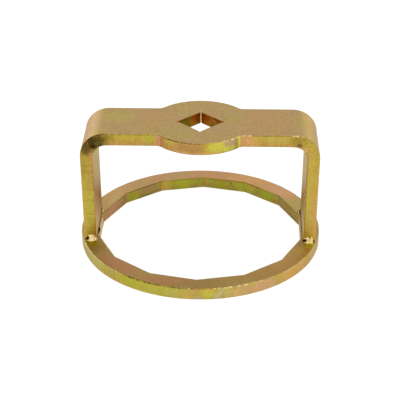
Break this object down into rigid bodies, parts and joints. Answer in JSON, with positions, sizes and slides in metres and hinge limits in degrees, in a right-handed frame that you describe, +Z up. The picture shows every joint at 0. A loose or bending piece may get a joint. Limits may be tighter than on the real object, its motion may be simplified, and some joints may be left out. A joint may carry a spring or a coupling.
{
  "type": "oil filter wrench",
  "caption": "Ring-socket oil filter wrench: a flat ring with a flat-sided opening under a welded bridge strap with a square drive hub.",
  "frame": {"origin": "centre of the ring's underside, on the drive axis", "axes": "+Z up the drive axis, from the ring to the square drive hub; the bridge's legs stand at -X and +X; a corner of the fourteen-sided opening points at -Y and another at +Y"},
  "size_m": [0.1, 0.1, 0.0532],
  "materials": {
    "plated_steel": "yellow zinc chromate, satin, with a faint green and pink tint",
    "weld_metal": "yellow zinc chromate over bright rippled weld metal"
  },
  "bodies": {
    "root": {"socket_ring": "plated_steel", "drive_yoke": "plated_steel", "weld_front_left": "weld_metal", "weld_front_right": "weld_metal", "weld_rear_left": "weld_metal", "weld_rear_right": "weld_metal"}
  },
  "joints": []
}
